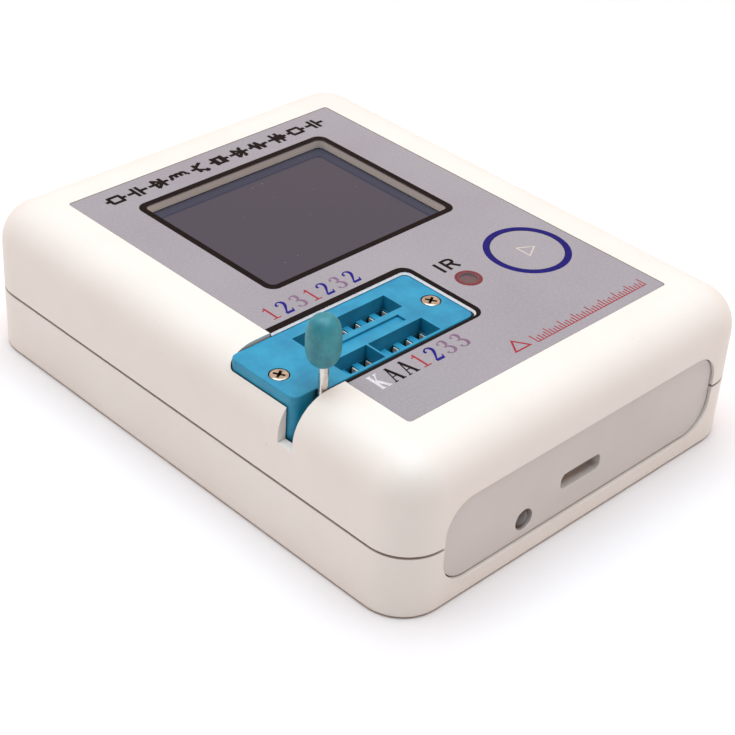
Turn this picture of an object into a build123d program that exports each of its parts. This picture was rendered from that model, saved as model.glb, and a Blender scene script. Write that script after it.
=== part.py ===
"""Handheld component tester with a zero-insertion-force test socket.

Millimetres. The origin is the centre of the underside, +X runs to the right of the face label,
+Y from the connector end to the screen end, and +Z up through the screen.
"""

from build123d import *

import os
from math import acos, copysign, cos, pi, sin

os.makedirs("parts", exist_ok=True)

# ---------------------------------------------------------------- driving dimensions
# Case
CASE_WIDTH = 69.2
CASE_LENGTH = 88.2
CASE_HEIGHT = 23.5
WALL = 2.0
CORNER_RADIUS = 6.5
SHOULDER_RADIUS = 6.0
FOOT_RADIUS = 0.7
UPPER_DRAFT = 0.3
LOWER_DRAFT = 0.4
PARTING_Z = 10.1
GROOVE = 0.45
LIP_THICKNESS = 1.0
LIP_TOP = 11.3
LIP_CLEARANCE = 0.1

# Face label
LABEL_X0, LABEL_X1 = -25.65, 25.55
LABEL_Y0, LABEL_Y1 = -34.7, 35.15
LABEL_RADIUS = 0.45
LABEL_THICKNESS = 0.25
LABEL_RECESS = 0.3
LABEL_GAP = 0.1

# Screen window
WINDOW_X, WINDOW_Y = -0.145, 13.73
WINDOW_WIDTH, WINDOW_LENGTH = 35.15, 28.1
WINDOW_RADIUS = 1.0

# Display module
LCD_X0, LCD_X1 = -21.2, 25.4
LCD_Y0, LCD_Y1 = -3.3, 30.6
LCD_GAP = 0.2
POLARISER_TOP = CASE_HEIGHT - 1.62

# Test socket, seen from above
SOCKET_X0, SOCKET_X1 = -33.0, -0.4
SOCKET_Y0, SOCKET_Y1 = -22.4, -8.95
SOCKET_STEP_X, SOCKET_STEP_Y = -27.85, -21.53
SOCKET_CORNER = 1.2
SOCKET_TOP = CASE_HEIGHT - 0.5
COVER_BOTTOM = CASE_HEIGHT - 4.7
OPENING_X0, OPENING_X1 = -33.2, -0.3
OPENING_Y0, OPENING_Y1 = -23.2, -8.8
OPENING_RADIUS = 1.3
COVER_EDGE_RADIUS = 0.18
NOTCH_Y1 = -20.45
NOTCH_FLOOR = CASE_HEIGHT - 7.1

# Contacts
PITCH = 2.54
CONTACTS_PER_ROW = 7
ROW_X = -15.45
ROW_Y = (-20.2, -12.95)
SLOT_X0, SLOT_X1 = -23.9, -6.85
SLOT_LENGTH = 3.65
SLOT_WEB_X = -17.1
SLOT_WEB = 0.3
CAVITY_WIDTH, CAVITY_LENGTH = 1.5, 3.5
CONTACT_X0, CONTACT_X1 = 0.45, 0.65
SLIDER_TOP = CASE_HEIGHT - 2.65
SLIDER_GAP = 0.05
SLIDER_TRAVEL = 0.9

# Lever
LEVER_X, LEVER_Y, LEVER_Z = -28.82, -22.37, CASE_HEIGHT - 6.2
ROD_RADIUS = 0.68
BORE_CLEARANCE = 0.05
ECCENTRIC_RADIUS = 1.05
KNOB_X, KNOB_Y = LEVER_X - 0.14, LEVER_Y + 0.14
KNOB_RADIUS = 2.36
KNOB_NECK_RADIUS = 1.15
KNOB_Z = CASE_HEIGHT + 7.1
KNOB_HALF_HEIGHT = 3.75
KNOB_FULLNESS = 0.78

# Start key
KEY_X, KEY_Y = 17.4, -16.0
KEY_RADIUS = 5.4
KEY_HOLE_RADIUS = 5.56
KEY_CAP_RADIUS = 4.6
KEY_TRAVEL = 0.35

# Infrared window
INFRARED_X, INFRARED_Y = 5.1, -15.95
INFRARED_LABEL_RADIUS = 1.4
INFRARED_CASE_RADIUS = 1.4

# End panels
PANEL_WIDTH = 54.7
PANEL_Z0, PANEL_Z1 = 3.3, 16.2
PANEL_RADIUS = 4.6
PANEL_GAP = 0.2
PANEL_INSET = 0.5
PANEL_FLANGE = 1.0
PORT_X, PORT_Z = -0.55, 8.55
PORT_WIDTH, PORT_HEIGHT, PORT_RADIUS = 8.1, 2.5, 0.9
LAMP_X, LAMP_Z = -11.6, 6.1
LAMP_RADIUS = 1.57
LAMP_HOLE_RADIUS = 1.65

# Main circuit board
BOARD_TOP = CASE_HEIGHT - 11.95
BOARD_THICKNESS = 1.6
BOARD_WIDTH, BOARD_LENGTH = 63.4, 81.6
BOARD_NOTCH_X, BOARD_NOTCH_Y = 24.4, 32.4

# Fasteners
CASE_SCREW_X, CASE_SCREW_Y = 28.0, 36.2
BOARD_SCREW_X, BOARD_SCREW_Y = 28.0, 27.5
BOSS_RADIUS = 3.1
PILOT_RADIUS = 1.0
SCREW_CORE_RADIUS = 0.95
CASE_SCREW_HEAD_RADIUS, CASE_SCREW_HEAD = 2.1, 1.5
COUNTERBORE_RADIUS, COUNTERBORE_DEPTH = 2.5, 3.0

# ---------------------------------------------------------------- worked-out places
CEILING_Z = CASE_HEIGHT - WALL
FLOOR_Z = WALL
BOARD_BOTTOM = BOARD_TOP - BOARD_THICKNESS
UPPER_EDGE = PARTING_Z + GROOVE / 2
LOWER_EDGE = PARTING_Z - GROOVE / 2
LABEL_BOTTOM = CASE_HEIGHT - LABEL_RECESS
LABEL_WIDTH, LABEL_LENGTH = LABEL_X1 - LABEL_X0, LABEL_Y1 - LABEL_Y0
LABEL_MIDDLE = ((LABEL_X0 + LABEL_X1) / 2, (LABEL_Y0 + LABEL_Y1) / 2)
OPENING_WIDTH, OPENING_LENGTH = OPENING_X1 - OPENING_X0, OPENING_Y1 - OPENING_Y0
OPENING_MIDDLE = ((OPENING_X0 + OPENING_X1) / 2, (OPENING_Y0 + OPENING_Y1) / 2)
END_FACE = CASE_LENGTH / 2
END_INNER = END_FACE - WALL
PANEL_FACE = END_FACE - PANEL_INSET
PANEL_BACK = END_INNER - PANEL_FLANGE
PANEL_HEIGHT = PANEL_Z1 - PANEL_Z0
PANEL_MID_Z = (PANEL_Z0 + PANEL_Z1) / 2
CONTACT_X = [ROW_X + PITCH * (i - (CONTACTS_PER_ROW - 1) / 2) for i in range(CONTACTS_PER_ROW)]
CONTACT_PLACES = [(x, y) for y in ROW_Y for x in CONTACT_X]
SOCKET_SCREWS = [(-30.7, -16.2), (-2.7, -16.2)]
DOWN = (0, 0, -1)


def block(x0, x1, y0, y1, z0, z1):
    """A plain box between two corners."""
    return Box(x1 - x0, y1 - y0, z1 - z0, align=(Align.MIN,) * 3, mode=Mode.PRIVATE).moved(
        Location((x0, y0, z0))
    )


def rod(x, y, z0, z1, radius):
    """A plain upright cylinder from z0 to z1."""
    return Cylinder(radius, z1 - z0, align=(Align.CENTER, Align.CENTER, Align.MIN), mode=Mode.PRIVATE).moved(
        Location((x, y, z0))
    )


# ---------------------------------------------------------------- case shells
with BuildPart() as upper_cavity:
    with BuildSketch(Plane.XY.offset(UPPER_EDGE)):
        RectangleRounded(CASE_WIDTH - 2 * WALL, CASE_LENGTH - 2 * WALL, CORNER_RADIUS - WALL)
    extrude(amount=CEILING_Z - UPPER_EDGE)
    fillet(upper_cavity.faces().sort_by(Axis.Z)[-1].edges(), radius=SHOULDER_RADIUS - WALL)

with BuildPart() as lower_cavity:
    with BuildSketch(Plane.XY.offset(FLOOR_Z)):
        RectangleRounded(CASE_WIDTH - 2 * WALL, CASE_LENGTH - 2 * WALL, CORNER_RADIUS - WALL)
    extrude(amount=LIP_TOP - FLOOR_Z)
    fillet(lower_cavity.faces().sort_by(Axis.Z)[0].edges(), radius=FOOT_RADIUS / 2)

with BuildPart() as panel_openings:
    for y in (END_FACE + WALL, -END_INNER + WALL):
        with BuildSketch(Plane.XZ.offset(-y)):
            with Locations((0, PANEL_MID_Z)):
                RectangleRounded(
                    PANEL_WIDTH + 2 * PANEL_GAP, PANEL_HEIGHT + 2 * PANEL_GAP, PANEL_RADIUS + PANEL_GAP
                )
        extrude(amount=3 * WALL)

with BuildPart() as top_case:
    with BuildSketch(Plane.XY.offset(UPPER_EDGE)):
        RectangleRounded(CASE_WIDTH, CASE_LENGTH, CORNER_RADIUS)
    extrude(amount=CASE_HEIGHT - UPPER_EDGE, taper=UPPER_DRAFT)
    fillet(top_case.faces().sort_by(Axis.Z)[-1].edges(), radius=SHOULDER_RADIUS)
    add(upper_cavity.part, mode=Mode.SUBTRACT)
    # Rebate inside the rim that receives the lip of the lower shell
    with BuildSketch(Plane.XY.offset(UPPER_EDGE)):
        rebate = WALL - LIP_THICKNESS - LIP_CLEARANCE
        RectangleRounded(CASE_WIDTH - 2 * rebate, CASE_LENGTH - 2 * rebate, CORNER_RADIUS - rebate)
    extrude(amount=LIP_TOP + LIP_CLEARANCE - UPPER_EDGE, mode=Mode.SUBTRACT)
    # Screw bosses hanging from the ceiling
    with BuildSketch(Plane.XY.offset(UPPER_EDGE)):
        with GridLocations(2 * CASE_SCREW_X, 2 * CASE_SCREW_Y, 2, 2):
            Circle(BOSS_RADIUS)
    extrude(amount=CEILING_Z - UPPER_EDGE)
    with BuildSketch(Plane.XY.offset(UPPER_EDGE)):
        with GridLocations(2 * CASE_SCREW_X, 2 * CASE_SCREW_Y, 2, 2):
            Circle(PILOT_RADIUS)
    extrude(amount=8, mode=Mode.SUBTRACT)
    # Shallow seat for the face label
    with BuildSketch(Plane.XY.offset(LABEL_BOTTOM)):
        with Locations(LABEL_MIDDLE):
            RectangleRounded(
                LABEL_WIDTH + 2 * LABEL_GAP, LABEL_LENGTH + 2 * LABEL_GAP, LABEL_RADIUS + LABEL_GAP
            )
    extrude(amount=WALL, mode=Mode.SUBTRACT)
    # Screen window
    with BuildSketch(Plane.XY.offset(CEILING_Z - 1)):
        with Locations((WINDOW_X, WINDOW_Y)):
            RectangleRounded(WINDOW_WIDTH, WINDOW_LENGTH, WINDOW_RADIUS)
    extrude(amount=2 * WALL, mode=Mode.SUBTRACT)
    # Pocket in the ceiling that the display module sits up into
    add(
        block(LCD_X0 - LCD_GAP, LCD_X1 + LCD_GAP, LCD_Y0 - LCD_GAP, LCD_Y1 + LCD_GAP, CEILING_Z - 1,
              POLARISER_TOP + LCD_GAP / 2),
        mode=Mode.SUBTRACT,
    )
    # Socket opening, and the side notch that the lever folds into
    with BuildSketch(Plane.XY.offset(BOARD_TOP)):
        with Locations(OPENING_MIDDLE):
            RectangleRounded(OPENING_WIDTH, OPENING_LENGTH, OPENING_RADIUS)
    extrude(amount=CASE_HEIGHT, mode=Mode.SUBTRACT)
    add(
        block(-CASE_WIDTH, OPENING_X0 + 1, OPENING_Y0, NOTCH_Y1, NOTCH_FLOOR, CASE_HEIGHT + 1),
        mode=Mode.SUBTRACT,
    )
    # Key well, key hole and infrared hole
    add(rod(KEY_X, KEY_Y, LABEL_BOTTOM - 0.5, CASE_HEIGHT, KEY_HOLE_RADIUS + 0.1), mode=Mode.SUBTRACT)
    add(rod(KEY_X, KEY_Y, CEILING_Z - 1, CASE_HEIGHT, KEY_CAP_RADIUS + 0.3), mode=Mode.SUBTRACT)
    add(
        rod(INFRARED_X, INFRARED_Y, CEILING_Z - 1, CASE_HEIGHT, INFRARED_CASE_RADIUS),
        mode=Mode.SUBTRACT,
    )
    add(panel_openings.part, mode=Mode.SUBTRACT)
top_case.part.label = "top_case"
export_step(top_case.part, "parts/top_case.step")

with BuildPart() as bottom_case:
    with BuildSketch(Plane((0, 0, LOWER_EDGE), z_dir=DOWN)):
        RectangleRounded(CASE_WIDTH, CASE_LENGTH, CORNER_RADIUS)
    extrude(amount=LOWER_EDGE, taper=LOWER_DRAFT)
    fillet(bottom_case.faces().sort_by(Axis.Z)[0].edges(), radius=FOOT_RADIUS)
    # Lip that stands up inside the rim of the upper shell
    with BuildSketch(Plane.XY.offset(LOWER_EDGE)):
        lip = WALL - LIP_THICKNESS
        RectangleRounded(CASE_WIDTH - 2 * lip, CASE_LENGTH - 2 * lip, CORNER_RADIUS - lip)
    extrude(amount=LIP_TOP - LOWER_EDGE)
    add(lower_cavity.part, mode=Mode.SUBTRACT)
    # Screw bosses and circuit board posts
    with BuildSketch(Plane.XY.offset(FLOOR_Z)):
        with GridLocations(2 * CASE_SCREW_X, 2 * CASE_SCREW_Y, 2, 2):
            Circle(BOSS_RADIUS)
    extrude(amount=LOWER_EDGE - FLOOR_Z)
    with BuildSketch(Plane.XY.offset(FLOOR_Z)):
        with GridLocations(2 * BOARD_SCREW_X, 2 * BOARD_SCREW_Y, 2, 2):
            Circle(BOSS_RADIUS - 0.6)
    extrude(amount=BOARD_BOTTOM - FLOOR_Z)
    with BuildSketch(Plane.XY.offset(BOARD_BOTTOM)):
        with GridLocations(2 * BOARD_SCREW_X, 2 * BOARD_SCREW_Y, 2, 2):
            Circle(PILOT_RADIUS)
    extrude(amount=-6, mode=Mode.SUBTRACT)
    # Counterbored screw holes, open at the underside
    with BuildSketch(Plane.XY):
        with GridLocations(2 * CASE_SCREW_X, 2 * CASE_SCREW_Y, 2, 2):
            Circle(COUNTERBORE_RADIUS)
    extrude(amount=COUNTERBORE_DEPTH, mode=Mode.SUBTRACT)
    with BuildSketch(Plane.XY):
        with GridLocations(2 * CASE_SCREW_X, 2 * CASE_SCREW_Y, 2, 2):
            Circle(PILOT_RADIUS + 0.2)
    extrude(amount=CASE_HEIGHT, mode=Mode.SUBTRACT)
    add(panel_openings.part, mode=Mode.SUBTRACT)
bottom_case.part.label = "bottom_case"
export_step(bottom_case.part, "parts/bottom_case.step")

# ---------------------------------------------------------------- end panels
with BuildPart() as rear_panel:
    with BuildSketch(Plane.XZ.offset(-PANEL_FACE)):
        with Locations((0, PANEL_MID_Z)):
            RectangleRounded(PANEL_WIDTH, PANEL_HEIGHT, PANEL_RADIUS)
    extrude(amount=PANEL_FACE - PANEL_BACK)
    with BuildSketch(Plane.XZ.offset(-END_INNER)):
        with Locations((0, PANEL_MID_Z)):
            RectangleRounded(
                PANEL_WIDTH + 2 * PANEL_FLANGE, PANEL_HEIGHT + 2 * PANEL_FLANGE, PANEL_RADIUS + PANEL_FLANGE
            )
    extrude(amount=PANEL_FLANGE)
rear_panel.part.label = "rear_panel"
export_step(rear_panel.part, "parts/rear_panel.step")

with BuildPart() as front_panel:
    add(mirror(rear_panel.part, about=Plane.XZ, mode=Mode.PRIVATE))
    with BuildSketch(Plane.XZ.offset(PANEL_BACK)):
        with Locations((PORT_X, PORT_Z)):
            RectangleRounded(PORT_WIDTH, PORT_HEIGHT, PORT_RADIUS)
        with Locations((LAMP_X, LAMP_Z)):
            Circle(LAMP_HOLE_RADIUS)
    extrude(amount=2 * WALL, mode=Mode.SUBTRACT)
front_panel.part.label = "front_panel"
export_step(front_panel.part, "parts/front_panel.step")

# ---------------------------------------------------------------- face label
with BuildPart() as overlay_label:
    with BuildSketch(Plane.XY.offset(LABEL_BOTTOM)):
        with Locations(LABEL_MIDDLE):
            RectangleRounded(LABEL_WIDTH, LABEL_LENGTH, LABEL_RADIUS)
        with Locations((WINDOW_X, WINDOW_Y)):
            RectangleRounded(WINDOW_WIDTH, WINDOW_LENGTH, WINDOW_RADIUS, mode=Mode.SUBTRACT)
        with Locations(OPENING_MIDDLE):
            RectangleRounded(OPENING_WIDTH, OPENING_LENGTH, OPENING_RADIUS, mode=Mode.SUBTRACT)
        with Locations((KEY_X, KEY_Y)):
            Circle(KEY_HOLE_RADIUS, mode=Mode.SUBTRACT)
        with Locations((INFRARED_X, INFRARED_Y)):
            Circle(INFRARED_LABEL_RADIUS, mode=Mode.SUBTRACT)
    extrude(amount=LABEL_THICKNESS)
overlay_label.part.label = "overlay_label"
export_step(overlay_label.part, "parts/overlay_label.step")

# ---------------------------------------------------------------- start key
with BuildPart() as start_key_membrane:
    with BuildSketch(Plane.XY.offset(LABEL_BOTTOM)):
        with Locations((KEY_X, KEY_Y)):
            Circle(KEY_RADIUS)
    extrude(amount=LABEL_THICKNESS)
start_key_membrane.part.label = "start_key_membrane"
export_step(start_key_membrane.part, "parts/start_key_membrane.step")

KEY_FLANGE_TOP = CEILING_Z - 0.2
SWITCH_TOP = BOARD_TOP + 3.5
PLUNGER_TOP = BOARD_TOP + 5.0
with BuildPart() as start_button_cap:
    add(rod(KEY_X, KEY_Y, KEY_FLANGE_TOP - 0.8, LABEL_BOTTOM, KEY_CAP_RADIUS))
    add(rod(KEY_X, KEY_Y, KEY_FLANGE_TOP - 0.8, KEY_FLANGE_TOP, KEY_CAP_RADIUS + 0.8))
    add(rod(KEY_X, KEY_Y, PLUNGER_TOP, KEY_FLANGE_TOP, 2.2))
start_button_cap.part.label = "start_button_cap"
export_step(start_button_cap.part, "parts/start_button_cap.step")

with BuildPart() as switch_plunger:
    add(rod(KEY_X, KEY_Y, SWITCH_TOP - 0.9, PLUNGER_TOP, 1.7))
switch_plunger.part.label = "switch_plunger"
export_step(switch_plunger.part, "parts/switch_plunger.step")

with BuildPart() as switch_body:
    add(block(KEY_X - 3, KEY_X + 3, KEY_Y - 3, KEY_Y + 3, BOARD_TOP, SWITCH_TOP))
    fillet(switch_body.edges().filter_by(Axis.Z), radius=0.4)
    add(rod(KEY_X, KEY_Y, SWITCH_TOP - 1.5, SWITCH_TOP, 1.8), mode=Mode.SUBTRACT)
switch_body.part.label = "switch_body"
export_step(switch_body.part, "parts/switch_body.step")

# ---------------------------------------------------------------- test socket
with BuildPart() as socket_outline:
    with BuildSketch(Plane.XY) as outline:
        with BuildLine():
            Polyline(
                (SOCKET_X0, SOCKET_Y1),
                (SOCKET_X1, SOCKET_Y1),
                (SOCKET_X1, SOCKET_Y0),
                (SOCKET_STEP_X, SOCKET_Y0),
                (SOCKET_STEP_X, SOCKET_STEP_Y),
                (SOCKET_X0, SOCKET_STEP_Y),
                close=True,
            )
        make_face()
        corners = outline.vertices()
        fillet(corners.group_by(Axis.X)[0] + corners.group_by(Axis.X)[-1], radius=SOCKET_CORNER)
    extrude(amount=CASE_HEIGHT)

YOKE_SPANS = [(-20.4, -18.2), (-14.2, -12.0)]
YOKE_LEFT, YOKE_RIGHT = LEVER_X - 1.7, LEVER_X + 1.35
YOKE_LEG = 0.6
YOKE_BOTTOM = LEVER_Z - 2.6
PLATE_X0, PLATE_X1 = -25.0, -6.2
PLATE_Y0, PLATE_Y1 = -21.95, -10.9

with BuildPart() as zif_cover:
    add(socket_outline.part)
    split(bisect_by=Plane.XY.offset(SOCKET_TOP), keep=Keep.BOTTOM)
    split(bisect_by=Plane.XY.offset(COVER_BOTTOM), keep=Keep.TOP)
    fillet(zif_cover.faces().sort_by(Axis.Z)[-1].edges(), radius=COVER_EDGE_RADIUS)
    # Insertion slots: one long slot in the far row, two in the near row with a thin web between
    for x0, x1, y in (
        (SLOT_X0, SLOT_X1, ROW_Y[1]),
        (SLOT_X0, SLOT_WEB_X - SLOT_WEB / 2, ROW_Y[0]),
        (SLOT_WEB_X + SLOT_WEB / 2, SLOT_X1, ROW_Y[0]),
    ):
        add(
            block(x0, x1, y - SLOT_LENGTH / 2, y + SLOT_LENGTH / 2, COVER_BOTTOM, SOCKET_TOP),
            mode=Mode.SUBTRACT,
        )
    # Shallow recess between the rows
    add(block(-23.0, -8.8, -17.45, -15.8, SOCKET_TOP - 0.35, SOCKET_TOP), mode=Mode.SUBTRACT)
    # Hollow underneath for the sliding plate and its two arms
    ceiling = SLIDER_TOP + SLIDER_GAP
    add(
        block(PLATE_X0 - 0.3, PLATE_X1 + 1.2, PLATE_Y0 - 0.1, PLATE_Y1 + 0.1, COVER_BOTTOM, ceiling),
        mode=Mode.SUBTRACT,
    )
    for y0, y1 in YOKE_SPANS:
        add(
            block(YOKE_LEFT - YOKE_LEG - 0.25, PLATE_X0, y0 - 0.1, y1 + 0.1, COVER_BOTTOM, ceiling),
            mode=Mode.SUBTRACT,
        )
    # Screw holes with seats for the heads
    for x, y in SOCKET_SCREWS:
        add(rod(x, y, COVER_BOTTOM, SOCKET_TOP, 0.9), mode=Mode.SUBTRACT)
        add(rod(x, y, SOCKET_TOP - 1.0, SOCKET_TOP, 1.45), mode=Mode.SUBTRACT)
zif_cover.part.label = "zif_cover"
export_step(zif_cover.part, "parts/zif_cover.step")

with BuildPart() as zif_slider:
    add(block(PLATE_X0, PLATE_X1, PLATE_Y0, PLATE_Y1, COVER_BOTTOM + SLIDER_GAP, SLIDER_TOP))
    for y0, y1 in YOKE_SPANS:
        add(block(YOKE_LEFT - YOKE_LEG, PLATE_X0, y0, y1, COVER_BOTTOM + SLIDER_GAP, SLIDER_TOP))
        add(block(YOKE_LEFT - YOKE_LEG, YOKE_RIGHT + YOKE_LEG, y0, y1, YOKE_BOTTOM, COVER_BOTTOM + 1))
        add(block(YOKE_LEFT, YOKE_RIGHT, y0, y1, YOKE_BOTTOM, LEVER_Z + 1.3), mode=Mode.SUBTRACT)
    for x, y in CONTACT_PLACES:
        half_width, half_length = CAVITY_WIDTH / 2, CAVITY_LENGTH / 2
        add(
            block(x - half_width, x + half_width, y - half_length, y + half_length, COVER_BOTTOM, SLIDER_TOP),
            mode=Mode.SUBTRACT,
        )
zif_slider.part.label = "zif_slider"
export_step(zif_slider.part, "parts/zif_slider.step")

WELL_FLOOR = BOARD_TOP + 1.0
with BuildPart() as zif_base:
    add(socket_outline.part)
    split(bisect_by=Plane.XY.offset(COVER_BOTTOM), keep=Keep.BOTTOM)
    split(bisect_by=Plane.XY.offset(BOARD_TOP), keep=Keep.TOP)
    # Wells for the contacts, and the slots that their pins leave by
    for x, y in CONTACT_PLACES:
        half_length = CAVITY_LENGTH / 2
        add(
            block(x - 0.7, x + 1.0, y - half_length, y + half_length, WELL_FLOOR, COVER_BOTTOM),
            mode=Mode.SUBTRACT,
        )
        add(block(x + 0.35, x + 0.7, y - 0.3, y + 0.3, BOARD_TOP, WELL_FLOOR), mode=Mode.SUBTRACT)
    # Pockets that the yokes move in
    for y0, y1 in YOKE_SPANS:
        add(
            block(YOKE_LEFT - YOKE_LEG - 0.25, YOKE_RIGHT + YOKE_LEG + 1.15, y0 - 0.1, y1 + 0.1,
                  YOKE_BOTTOM - 0.3, COVER_BOTTOM),
            mode=Mode.SUBTRACT,
        )
    # Bearing bore for the lever's axle
    with BuildSketch(Plane.XZ.offset(-SOCKET_STEP_Y)):
        with Locations((LEVER_X, LEVER_Z)):
            Circle(ROD_RADIUS + BORE_CLEARANCE)
    extrude(amount=-10.9, mode=Mode.SUBTRACT)
    for x, y in SOCKET_SCREWS:
        add(rod(x, y, BOARD_TOP + 2, COVER_BOTTOM, 0.8), mode=Mode.SUBTRACT)
zif_base.part.label = "zif_base"
export_step(zif_base.part, "parts/zif_base.step")

PIN_BOTTOM = BOARD_BOTTOM - 1.2
with BuildPart() as zif_contacts:
    for x, y in CONTACT_PLACES:
        add(block(x + CONTACT_X0, x + CONTACT_X1, y - 1.4, y + 1.4, WELL_FLOOR, SLIDER_TOP - 0.1))
        add(block(x + CONTACT_X0, x + CONTACT_X1, y - 0.25, y + 0.25, PIN_BOTTOM, WELL_FLOOR))
zif_contacts.part.label = "zif_contacts"
export_step(zif_contacts.part, "parts/zif_contacts.step")

with BuildPart() as zif_screws:
    for x, y in SOCKET_SCREWS:
        add(rod(x, y, BOARD_TOP + 2.2, SOCKET_TOP - 0.9, 0.75))
        add(rod(x, y, SOCKET_TOP - 0.95, SOCKET_TOP + 0.05, 1.35))
    fillet(zif_screws.faces().group_by(Axis.Z)[-1].edges(), radius=0.25)
    for x, y in SOCKET_SCREWS:
        with BuildSketch(Plane.XY.offset(SOCKET_TOP + 0.05)):
            with Locations(Location((x, y, 0), 30)):
                Rectangle(1.7, 0.42)
                Rectangle(0.42, 1.7)
        extrude(amount=-0.6, mode=Mode.SUBTRACT)
zif_screws.part.label = "zif_screws"
export_step(zif_screws.part, "parts/zif_screws.step")

with BuildPart() as zif_lever:
    with BuildLine() as lever_path:
        FilletPolyline(
            (LEVER_X, SOCKET_STEP_Y + 10.7, LEVER_Z),
            (LEVER_X, LEVER_Y, LEVER_Z),
            (LEVER_X, LEVER_Y, KNOB_Z - 1.7),
            radius=0.8,
        )
    with BuildSketch(Plane.XZ.offset(-(SOCKET_STEP_Y + 10.7))):
        with Locations((LEVER_X, LEVER_Z)):
            Circle(ROD_RADIUS)
    sweep(path=lever_path.wires()[0])
    # Eccentrics that shift the sliding plate
    for y0, y1 in YOKE_SPANS:
        with BuildSketch(Plane.XZ.offset(-y1 + 0.2)):
            with Locations((LEVER_X, LEVER_Z - SLIDER_TRAVEL)):
                Circle(ECCENTRIC_RADIUS)
        extrude(amount=y1 - y0 - 0.4)
zif_lever.part.label = "zif_lever"
export_step(zif_lever.part, "parts/zif_lever.step")

with BuildPart() as lever_knob:
    # A barrel between an ellipsoid and a cylinder, cut flat at the neck
    neck_angle = -acos((KNOB_NECK_RADIUS / KNOB_RADIUS) ** (1 / KNOB_FULLNESS))
    angles = [neck_angle, 0.75 * neck_angle, 0.5 * neck_angle, 0, 0.16 * pi, 0.28 * pi, 0.38 * pi, pi / 2]
    profile = [
        (KNOB_RADIUS * abs(cos(a)) ** KNOB_FULLNESS,
         KNOB_HALF_HEIGHT * copysign(abs(sin(a)) ** KNOB_FULLNESS, a))
        for a in angles
    ]
    with BuildSketch(Plane((KNOB_X, KNOB_Y, KNOB_Z), x_dir=(1, 0, 0), z_dir=(0, -1, 0))):
        with BuildLine():
            side = Spline(*profile[:-1], (0, KNOB_HALF_HEIGHT))
            Polyline(side @ 0, (0, (side @ 0).Y), side @ 1)
        make_face()
    revolve(axis=Axis((KNOB_X, KNOB_Y, 0), (0, 0, 1)))
    add(rod(LEVER_X, LEVER_Y, CASE_HEIGHT, KNOB_Z - 1.6, ROD_RADIUS), mode=Mode.SUBTRACT)
lever_knob.part.label = "lever_knob"
export_step(lever_knob.part, "parts/lever_knob.step")

# ---------------------------------------------------------------- main circuit board
with BuildPart() as main_board:
    with BuildSketch(Plane.XY.offset(BOARD_BOTTOM)):
        Rectangle(BOARD_WIDTH, BOARD_LENGTH)
        for sx in (-1, 1):
            for sy in (-1, 1):
                with Locations((sx * BOARD_NOTCH_X, sy * BOARD_NOTCH_Y)):
                    Rectangle(
                        BOARD_WIDTH,
                        BOARD_LENGTH,
                        align=(Align.MIN if sx > 0 else Align.MAX, Align.MIN if sy > 0 else Align.MAX),
                        mode=Mode.SUBTRACT,
                    )
        with GridLocations(2 * BOARD_SCREW_X, 2 * BOARD_SCREW_Y, 2, 2):
            Circle(PILOT_RADIUS + 0.15, mode=Mode.SUBTRACT)
        for x, y in CONTACT_PLACES:
            with Locations((x + 0.525, y)):
                Circle(0.4, mode=Mode.SUBTRACT)
    extrude(amount=BOARD_THICKNESS)
main_board.part.label = "main_board"
export_step(main_board.part, "parts/main_board.step")

# ---------------------------------------------------------------- display module
GLASS_TOP = POLARISER_TOP - 0.2
GLASS_BOTTOM = GLASS_TOP - 1.4
FRAME_BOTTOM = GLASS_BOTTOM - 1.9
FLEX_WIDTH = 16.0
FLEX_THICKNESS = 0.2

with BuildPart() as lcd_polariser:
    add(block(-18.6, 18.4, -1.2, 28.6, GLASS_TOP, POLARISER_TOP))
lcd_polariser.part.label = "lcd_polariser"
export_step(lcd_polariser.part, "parts/lcd_polariser.step")

with BuildPart() as lcd_glass:
    add(block(LCD_X0 + 0.7, LCD_X1 - 0.7, LCD_Y0 + 0.7, LCD_Y1 - 0.7, GLASS_BOTTOM, GLASS_TOP))
lcd_glass.part.label = "lcd_glass"
export_step(lcd_glass.part, "parts/lcd_glass.step")

with BuildPart() as lcd_backlight_frame:
    add(block(LCD_X0, LCD_X1, LCD_Y0, LCD_Y1, FRAME_BOTTOM, GLASS_BOTTOM + 0.6))
    fillet(lcd_backlight_frame.edges().filter_by(Axis.Z), radius=0.6)
    add(
        block(LCD_X0 + 0.7, LCD_X1 - 0.7, LCD_Y0 + 0.7, LCD_Y1 - 0.7, GLASS_BOTTOM, GLASS_TOP),
        mode=Mode.SUBTRACT,
    )
lcd_backlight_frame.part.label = "lcd_backlight_frame"
export_step(lcd_backlight_frame.part, "parts/lcd_backlight_frame.step")

with BuildPart() as lcd_foam_strips:
    for x in (LCD_X0 + 1, 14.0):
        add(block(x, x + 4, LCD_Y0 + 2, LCD_Y1 - 2, BOARD_TOP, FRAME_BOTTOM))
lcd_foam_strips.part.label = "lcd_foam_strips"
export_step(lcd_foam_strips.part, "parts/lcd_foam_strips.step")

FLEX_Z0 = BOARD_TOP + FLEX_THICKNESS / 2
FLEX_Z1 = FRAME_BOTTOM - FLEX_THICKNESS / 2
FLEX_BEND_X = LCD_X1 + 0.3
with BuildPart() as lcd_flex:
    bend = (FLEX_Z1 - FLEX_Z0) / 2
    with BuildSketch(Plane.XZ.offset(-(WINDOW_Y + FLEX_WIDTH / 2))):
        with Locations((FLEX_BEND_X, FLEX_Z0 + bend)):
            Circle(bend + FLEX_THICKNESS / 2)
            Circle(bend - FLEX_THICKNESS / 2, mode=Mode.SUBTRACT)
            Rectangle(4 * bend, 4 * bend, align=(Align.MAX, Align.CENTER), mode=Mode.SUBTRACT)
        for z in (FLEX_Z0, FLEX_Z1):
            with Locations((FLEX_BEND_X, z)):
                Rectangle(5.5, FLEX_THICKNESS, align=(Align.MAX, Align.CENTER))
    extrude(amount=FLEX_WIDTH)
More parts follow.
